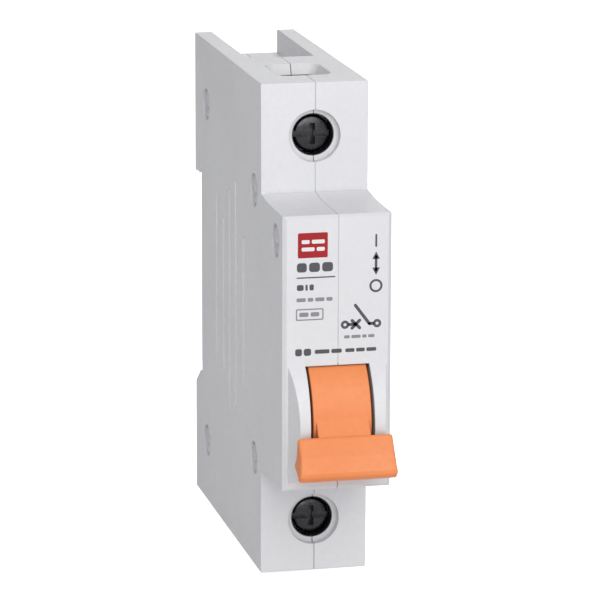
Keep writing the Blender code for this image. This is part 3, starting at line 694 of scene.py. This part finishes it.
def rivet(node):
    """Tubular rivet, its two ends rolled over into round lips."""
    low, high = span_of(node, 0)
    bore, shank, lip = 0.75, 1.44, 2.5
    roll = (lip - bore) / 2
    half = []
    for i in range(9):
        a = math.radians(180 - 22.5 * i)
        half.append((bore + roll + roll * math.cos(a), high - 0.45 + 0.45 * math.sin(a)))
    half += [(lip - 0.1, high - 0.6), (shank + 0.1, high - 0.6), (shank, high - 0.75)]
    profile = half + [(radius, low + high - along) for radius, along in half[::-1]]
    piece(f"{node}_fine", turned(profile, "X", axis_of(node), 40), "rivet_zinc", "case", [node])


def spring(node, path, gauge, body, look="spring_steel"):
    mesh = tube(bmesh.new(), path, gauge)
    return piece(f"{node}_fine", mesh, look, body, [node])


def torsion_spring(node, body, pivot, legs):
    """Coils about a pivot pin with two straight legs, whose headings are given in degrees."""
    gauge, radius, leg = 0.2, 1.5, 5.0
    low, high = span_of(node, 0)
    x = (low + gauge, high - gauge)
    turns = 2 + (legs[1] - legs[0]) / 360
    coils = helix("X", pivot, radius, x, turns, start=legs[0])
    first = turn_about((pivot[0] + radius, pivot[1] - leg), pivot, legs[0])
    last = turn_about((pivot[0] + radius, pivot[1] + leg), pivot, legs[1])
    spring(node, [(x[0], *first)] + coils + [(x[1], *last)], gauge, body)


def compression_spring(node, body, axis_at, radius, gauge, turns):
    """A coil spring along Z, the length of its CAD node, carried by the given body."""
    low, high = span_of(node, 2)
    path = helix("Z", axis_at, radius, (low + gauge, high - gauge), turns)
    obj = spring(node, path, gauge, body)
    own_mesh(obj)


def coil():
    """Enamelled copper wire wound on the bobbin, with its two leads."""
    x, y = COIL_AXIS
    low, high = span_of("coil_bobbin", 2)
    radius, gauge, flange = 4.05, 0.83, 1.0
    turns = helix("Z", (x, y), radius, (low + flange, high - flange), 5.5, 36, 180)
    lower = [(-3.15, -29.8, -0.9), (-3.15, -29.8, 4.6), (-3.4, -30.1, 5.7), (-3.7, -30.6, 6.6),
             (-4.05, -32.2, 8.2)]
    upper = [(radius, y + 0.4, high + 0.6), (radius, y + 1.6, high + 2.2)]
    spring("coil_winding", lower + turns + upper, gauge, "case", "copper")


def link():
    """The U of spring wire, its two bends smooth."""
    low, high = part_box("toggle_link")
    gauge, bend, far_end = 0.65, 0.9, -2.7
    x = (low.x / MM, high.x / MM - gauge)
    top = (low.y / MM + gauge, high.z / MM - gauge)
    ear = (high.y / MM - gauge, low.z / MM + gauge)
    way = (Vector(ear) - Vector(top)).normalized()
    path = [(x[0], *top)]
    for corner, sign in ((top, 1), (ear, -1)):
        turn = []
        for i in range(7):
            a = math.radians(15 * i)
            across, along = bend * (1 - math.sin(a)), bend * (1 - math.cos(a))
            turn.append((x[1] - across, corner[0] + sign * way.x * along, corner[1] + sign * way.y * along))
        path += turn if sign > 0 else turn[::-1]
    path.append((far_end, *ear))
    mesh = tube(bmesh.new(), path, gauge, 16)
    piece("toggle_link_fine", mesh, "spring_steel", "toggle_link", ["toggle_link"])


def braid():
    """Woven copper: strands wound both ways round a bundle, over and under each other."""
    start, end = Vector((2.9, -26.5, -17.5)), Vector((1.85, -32.4, -8.4))
    sag, rise = Vector((3.9, -28.0, -22.5)), Vector((2.6, -34.0, -16.0))
    steps, strands, twist = 56, 8, 2.5
    core_r, wound_r, strand_r, weave_depth = 0.46, 0.57, 0.12, 0.045

    def middle(t):
        near = start * (1 - t) ** 3 + sag * 3 * t * (1 - t) ** 2
        return near + rise * 3 * t * t * (1 - t) + end * t ** 3

    line = [middle(i / steps) for i in range(steps + 1)]
    mesh = tube(bmesh.new(), line, core_r, 12)
    across = Vector((1, 0, 0))
    for way in (-1, 1):
        for strand in range(strands):
            path = []
            for i, here in enumerate(line):
                along = (line[min(i + 1, steps)] - line[max(i - 1, 0)]).normalized()
                side = (across - along * across.dot(along)).normalized()
                up = along.cross(side)
                turn = way * 2 * math.pi * twist * i / steps + 2 * math.pi * strand / strands
                weave = weave_depth * way * math.cos(turn * strands / 2)
                path.append(here + (side * math.cos(turn) + up * math.sin(turn)) * (wound_r + weave))
            tube(mesh, path, strand_r, 6)
    obj = to_object("flexible_braid_woven", mesh)
    obj.data.materials.append(LOOKS["copper"])
    obj.data.shade_smooth()
    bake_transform(obj)
    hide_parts("flexible_braid")


# ---------------------------------------------------------------- toggle

def filleted(points, radius, steps=5):
    """A polygon's outline with each corner rounded by an arc, or less where its sides are short."""
    outline = []
    for i, point in enumerate(points):
        here = Vector(point)
        back, on = Vector(points[i - 1]) - here, Vector(points[(i + 1) % len(points)]) - here
        half = back.angle(on) / 2
        reach = min(radius / math.tan(half), 0.45 * back.length, 0.45 * on.length)
        first, last = here + back.normalized() * reach, here + on.normalized() * reach
        for k in range(steps + 1):
            t = k / steps
            outline.append(tuple(first * (1 - t) ** 2 + here * 2 * t * (1 - t) + last * t * t))
    return outline


def part_of(obj, name, mesh, operation, rounding=0.0, segments=3):
    """Adds a shape to an object, or cuts it away, with the shape's own edges rounded first."""
    tool = to_object(f"{obj.name}_{name}", mesh)
    tool.hide_render = True
    if rounding:
        round_edges(tool, rounding, segments)
    modifier = obj.modifiers.new(tool.name, "BOOLEAN")
    modifier.operation = operation
    modifier.object = tool
    return tool


def toggle():
    """Thumb lever: drum, arm and paddle moulded as one, every outer edge rounded."""
    pivot = axis_of("toggle_pin")
    drum_r, skirt_r, hub_r = 12.5, 8.9, 3.0
    crank, heading = 5.5, 70.0
    flare, flare_z = 0.036, -15.5
    drum = arc(pivot, drum_r, 120, 227, 72) + arc(pivot, skirt_r, 229, 290, 30)
    drum += arc(pivot, hub_r, 300, 440, 16)
    lever = to_object("toggle_moulding", prism(drum, "X", (-4.8, 4.8)))
    lever.data.materials.append(LOOKS["toggle_plastic"])
    round_edges(lever, 0.22, 3)
    arm = [(pivot[0] - 10, -9.3), (NOSE_Y - 3.75, -9.75), (NOSE_Y - 5.75, -12.5),
           (NOSE_Y - 7.2, -16.6), (NOSE_Y - 4.6, -17.4), (pivot[0] - 9, -16.6)]
    tip = NOSE_Y - 8.78
    paddle = [(NOSE_Y - 5.0, -11.95), (NOSE_Y - 6.0, -12.3), (NOSE_Y - 7.75, -14.9),
              (NOSE_Y - 8.45, -16.6), (tip, -17.3), (tip, -18.0), (NOSE_Y - 8.0, -18.88),
              (NOSE_Y - 6.9, -18.88)]
    # The first corner's points give way to an arc about the pivot
    paddle = filleted(paddle, 0.7)[6:] + arc(pivot, 13.5, 205, 184.5, 10)
    wing = prism(paddle, "X", (-7.7, 7.7))
    for vertex in wing.verts:
        vertex.co.x *= 1 + flare * max(0.0, min(1.0, (flare_z - vertex.co.z) / 2.0))
    pin = turn_about((pivot[0] + crank, pivot[1]), pivot, heading)
    ear = stroke(pivot, pin, 3.8, 16)
    slot = rounded((pin[0] - 4.2, pin[0] + 4.0), (pin[1] - 1.6, pin[1] + 4.0), 0.2, 2)
    tools = [
        part_of(lever, "arm", prism(filleted(arm, 0.5), "X", (-4.3, 4.3)), "UNION", 0.25),
        part_of(lever, "paddle", wing, "UNION", 0.42, 4),
        part_of(lever, "ears", prism(ear, "X", (-3.4, 3.4)), "UNION", 0.2),
        part_of(lever, "bore", prism(circle(pivot, 1.1, 32), "X", (-6, 6)), "DIFFERENCE"),
        part_of(lever, "link_bore", prism(circle(pin, 0.9, 24), "X", (-6, 6)), "DIFFERENCE"),
        part_of(lever, "link_slot", prism(slot, "X", (-1.6, 1.6)), "DIFFERENCE"),
    ]
    shade(lever)
    for obj in [lever] + tools:
        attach(obj, "toggle")
    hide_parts("toggle")


# ---------------------------------------------------------------- seam

def ribbon(path, depth, inset, span):
    """A flat strip that follows a path, between inset and inset + depth to its right.

    It is built a stretch at a time, because its outline as one face would fold at tight corners.
    """
    mesh = bmesh.new()
    rows = []
    for i, point in enumerate(path):
        here = Vector(point)
        ways = []
        if i > 0:
            ways.append((here - Vector(path[i - 1])).normalized())
        if i < len(path) - 1:
            ways.append((Vector(path[i + 1]) - here).normalized())
        along = sum(ways, Vector((0, 0))).normalized()
        inward = Vector((along.y, -along.x)) / along.dot(ways[0])
        outer, inner = here + inward * inset, here + inward * (inset + depth)
        corners = [(span[0], outer), (span[1], outer), (span[1], inner), (span[0], inner)]
        rows.append([mesh.verts.new((x, *place)) for x, place in corners])
    for row, following in zip(rows, rows[1:]):
        for i in range(4):
            j = (i + 1) % 4
            mesh.faces.new((row[i], row[j], following[j], following[i]))
    mesh.faces.new(rows[0])
    mesh.faces.new(rows[-1])
    bmesh.ops.recalc_face_normals(mesh, faces=mesh.faces)
    return mesh


def seam_tongues():
    """Strips that close the gap between the half cases, each a little below the surface."""
    top = HALF_HEIGHT
    entry, pocket = (-42.7, -30.1), (-23.4, 37.0)
    rim = 4.35
    runs = {
        "nose": (0.05, [(NOSE_Y, -1.6), (NOSE_Y, NOSE_HALF - 0.5), (NOSE_Y + 0.5, NOSE_HALF),
                        (BLOCK_Y - 5, NOSE_HALF), (BLOCK_Y, NOSE_HALF + 0.5), (BLOCK_Y, TERMINAL_Z - rim)]),
        "top": (0.10, [(BLOCK_Y, TERMINAL_Z + rim), (BLOCK_Y, top), (entry[0], top)]),
        "crown": (0.10, [(entry[1], top), (pocket[0], top), (pocket[0], pocket[1]), (REAR_Y, pocket[1]),
                         (REAR_Y, 18.0)]),
        "base": (0.10, [(0.9, -top), (entry[1], -top)]),
        "foot": (0.22, [(entry[0], -top), (BLOCK_Y, -top), (BLOCK_Y, -TERMINAL_Z - rim)]),
        "chin": (0.22, [(BLOCK_Y, -TERMINAL_Z + rim), (BLOCK_Y, -NOSE_HALF - 1.1),
                        (BLOCK_Y - 5, -NOSE_HALF - 0.4), (NOSE_Y + 0.5, -NOSE_HALF),
                        (NOSE_Y, -NOSE_HALF + 0.5), (NOSE_Y, -NOSE_HALF + 1.3)]),
    }
    depth, clear = 0.6, 0.004
    gap = (SEAM_GAP[0] + clear, SEAM_GAP[1] - clear)
    for name, (inset, path) in runs.items():
        piece(f"seam_tongue_{name}", ribbon(path, depth, inset, gap), "case_plastic", "case")


# ---------------------------------------------------------------- print on the nose

def printed(name, outlines, look="grey_ink", layer=0):
    """Ink on the nose: each outline is (X, Z), or a pair of outlines with the second as a hole."""
    lift, step, thickness = 0.004, 0.02, 0.016
    face = NOSE_Y - lift - step * layer
    mesh = bmesh.new()
    for outline in outlines:
        outer, hole = outline if isinstance(outline, tuple) else (outline, None)
        part = prism(outer, "Y", (face - thickness, face), hole)
        data = bpy.data.meshes.new("part")
        part.to_mesh(data)
        part.free()
        mesh.from_mesh(data)
        bpy.data.meshes.remove(data)
    obj = to_object(name, mesh)
    obj.data.materials.append(LOOKS[look])
    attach(obj, "case")


def dashes(x, z, height, widths, gap=0.35):
    """A row of plain bars in place of words: it spells nothing."""
    outlines = []
    for width in widths:
        corner = min(height, width) * 0.3
        outlines.append(rounded((x, x + width), (z - height / 2, z + height / 2), corner, 3))
        x += width + gap
    return outlines


def ring(centre, radius, width):
    return (circle(centre, radius + width / 2, 40), circle(centre, radius - width / 2, 40))


def frame_line(a, b, radius, width):
    inner = [(v + width, w - width) for v, w in (a, b)]
    return (rounded(a, b, radius, 4), rounded(*inner, radius - width / 2, 4))


def nose_print():
    printed("label_patch", [rounded((-6.5, -1.65), (15.75, 19.8), 0.2)], "red_ink")
    bars = dashes(-5.9, 18.35, 0.62, [1.3, 2.1]) + dashes(-5.9, 17.15, 0.62, [2.1, 1.3])
    printed("label_patch_bars", bars, "white_ink", 1)
    printed("label_type_row", dashes(-6.65, 14.2, 1.5, [1.6, 1.75, 1.75], 0.38))
    printed("label_rule", [stroke((-6.6, 12.55), (-0.5, 12.55), 0.2)])
    printed("label_pole_row", dashes(-6.65, 10.95, 0.95, [1.1, 0.35, 0.7], 0.3))
    printed("label_rating_row", dashes(-6.7, 8.95, 0.6, [1.5, 0.9, 1.5, 1.0], 0.32), "pale_ink")
    printed("label_class_box", [frame_line((-6.8, -2.3), (5.6, 7.5), 0.25, 0.2)]
            + dashes(-6.25, 6.55, 0.7, [1.5, 1.4], 0.35), "pale_ink")
    printed("label_small_row", dashes(1.1, 2.6, 0.5, [0.9, 1.5, 0.7, 1.0], 0.28), "pale_ink")
    printed("label_maker_row", dashes(-6.9, 0.4, 1.15, [1.1, 1.2], 0.3)
            + dashes(-3.7, 0.4, 0.66, [2.4, 1.7], 0.3) + dashes(1.3, 0.4, 0.6, [1.5, 1.4, 1.6], 0.28))
    x = 6.25
    printed("legend_on", [stroke((x, 17.2), (x, 19.0), 0.3)])
    printed("legend_way", [stroke((x, 13.3), (x, 15.5), 0.42),
                           [(x - 0.62, 15.1), (x + 0.62, 15.1), (x, 16.3)],
                           [(x - 0.62, 13.7), (x, 12.5), (x + 0.62, 13.7)]])
    printed("legend_off", [ring((x, 10.75), 0.9, 0.34)])
    breaker_symbol(0.5, 7.2, 4.6)


def breaker_symbol(left, right, z):
    """The general circuit symbol of a breaker: terminal, cross, open blade, terminal."""
    line, hub = 0.5, 0.72
    cross, hinge = left + 2.5, right - 2.0
    arm = 0.62
    tip = (cross - 0.1, z + 3.1)
    printed("circuit_symbol", [
        ring((left + hub, z), hub - line / 2, line * 0.85),
        ring((right - hub, z), hub - line / 2, line * 0.85),
        stroke((left + 2 * hub, z), (cross, z), line),
        stroke((hinge, z), (right - 2 * hub, z), line),
        stroke((hinge, z), tip, line),
        stroke((cross - arm, z - arm), (cross + arm, z + arm), line),
        stroke((cross - arm, z + arm), (cross + arm, z - arm), line),
    ])


# ---------------------------------------------------------------- studio

def studio():
    """White world, a broad key from above the front, and a weak fill from behind."""
    world = bpy.data.worlds.new("studio")
    bpy.context.scene.world = world
    world.use_nodes = True
    nodes, links = world.node_tree.nodes, world.node_tree.links
    shown, lit = nodes["Background"], nodes.new("ShaderNodeBackground")
    lit.inputs["Color"].default_value = (0.985, 0.99, 1.0, 1.0)
    lit.inputs["Strength"].default_value = AMBIENT
    shown.inputs["Color"].default_value = (1.0, 1.0, 1.0, 1.0)
    shown.inputs["Strength"].default_value = BACKDROP
    seen, both = nodes.new("ShaderNodeLightPath"), nodes.new("ShaderNodeMixShader")
    links.new(seen.outputs["Is Camera Ray"], both.inputs[0])
    links.new(lit.outputs[0], both.inputs[1])
    links.new(shown.outputs[0], both.inputs[2])
    links.new(both.outputs[0], nodes["World Output"].inputs[0])
    soft_light("key", (-0.04, -0.80, 0.47), 0.9, 0.80, KEY)
    soft_light("fill", (0.35, 0.90, 0.02), 0.9, 0.60, FILL)


def soft_light(name, way, distance, size, strength):
    """A square light whose share of a facing white surface's brightness is the strength."""
    data = bpy.data.lights.new(name, "AREA")
    data.size = size
    data.energy = strength * (math.pi * distance) ** 2
    light = bpy.data.objects.new(name, data)
    way = Vector(way).normalized()
    light.location = way * distance + Vector((0, -0.03, 0))
    light.rotation_mode = "QUATERNION"
    light.rotation_quaternion = way.to_track_quat("Z", "Y")
    bpy.context.scene.collection.objects.link(light)


def floor():
    """A pale floor below the rail clip's travel. From below it lets the camera see through."""
    level = cad_box[0].z - (travel_of("din_clip_slide") + 0.3) * MM
    half = 3.0
    mesh = bmesh.new()
    bmesh.ops.create_grid(mesh, x_segments=8, y_segments=8, size=half)
    data = bpy.data.meshes.new("floor")
    mesh.to_mesh(data)
    mesh.free()
    obj = bpy.data.objects.new("floor", data)
    obj.location.z = level
    bpy.context.scene.collection.objects.link(obj)
    g = Graph("floor_paper")
    nodes, links = g.tree.nodes, g.tree.links
    grain = g.noise(900.0, 3.0)
    g.done(g.mix(grain, (0.80, 0.80, 0.805), (0.83, 0.83, 0.83)), 0.9, g.bump(grain, 0.01 * MM))
    glow = g.node("Emission", {"Strength": FLOOR_GLOW})
    path, facing = g.node("LightPath"), g.node("NewGeometry")
    lit, shown = g.node("AddShader"), g.node("MixShader")
    through, clear = g.node("MixShader"), g.node("BsdfTransparent")
    links.new(g.shader.outputs[0], lit.inputs[0])
    links.new(glow.outputs[0], lit.inputs[1])
    links.new(path.outputs["Is Camera Ray"], shown.inputs[0])
    links.new(g.shader.outputs[0], shown.inputs[1])
    links.new(lit.outputs[0], shown.inputs[2])
    below = g.math("MULTIPLY", facing.outputs["Backfacing"], path.outputs["Is Camera Ray"])
    links.new(below, through.inputs[0])
    links.new(shown.outputs[0], through.inputs[1])
    links.new(clear.outputs[0], through.inputs[2])
    links.new(through.outputs[0], nodes["Material Output"].inputs[0])
    data.materials.append(g.material)


def camera():
    """The photographer's place: left of the breaker and a little above it, with a long lens."""
    yaw, pitch, roll = 0.2243, 0.2275, 0.0027
    target = Vector((2.2075, -30.0, 0.5564)) * MM
    distance, lens, sensor = 631.33 * MM, 223.69, 36.0
    ahead = Vector((math.sin(yaw) * math.cos(pitch), math.cos(yaw) * math.cos(pitch), -math.sin(pitch)))
    right = Vector((math.cos(yaw), -math.sin(yaw), 0.0))
    up = right.cross(ahead)
    across = right * math.cos(roll) + up * math.sin(roll)
    upright = up * math.cos(roll) - right * math.sin(roll)
    data = bpy.data.cameras.new("camera")
    data.sensor_width = sensor
    data.lens = lens
    data.clip_start = 0.01
    eye = bpy.data.objects.new("camera", data)
    facing = Matrix((across, upright, -ahead)).transposed().to_4x4()
    eye.matrix_world = Matrix.Translation(target - ahead * distance) @ facing
    bpy.context.scene.collection.objects.link(eye)
    bpy.context.scene.camera = eye


# ---------------------------------------------------------------- assembly

for place, up in (("upper", 1), ("lower", -1)):
    terminal_screw(place, up)
for node in frame["nodes"]:
    if node.startswith("rivet_"):
        rivet(node)
torsion_spring("toggle_spring", "case", axis_of("toggle_pin"), (-60, 20))
torsion_spring("contact_spring", "contact_carrier", axis_of("carrier_pin"), (150, 250))
compression_spring("plunger_spring", "case", COIL_AXIS, 1.35, 0.22, 3.5)
compression_spring("din_clip_spring", "case", (0.0, 3.2), 1.4, 0.28, 6)
coil()
link()
braid()
toggle()
seam_tongues()
nose_print()

for node, obj in frame["nodes"].items():
    if obj.hide_render:
        continue
    found = [rounding for start, rounding in ROUNDING.items() if node.startswith(start)]
    dress_node(obj, *(found[0] if found else DEFAULT_ROUNDING))

studio()
floor()
camera()
scene = bpy.context.scene
scene.view_settings.view_transform = "Standard"
scene.view_settings.look = "None"
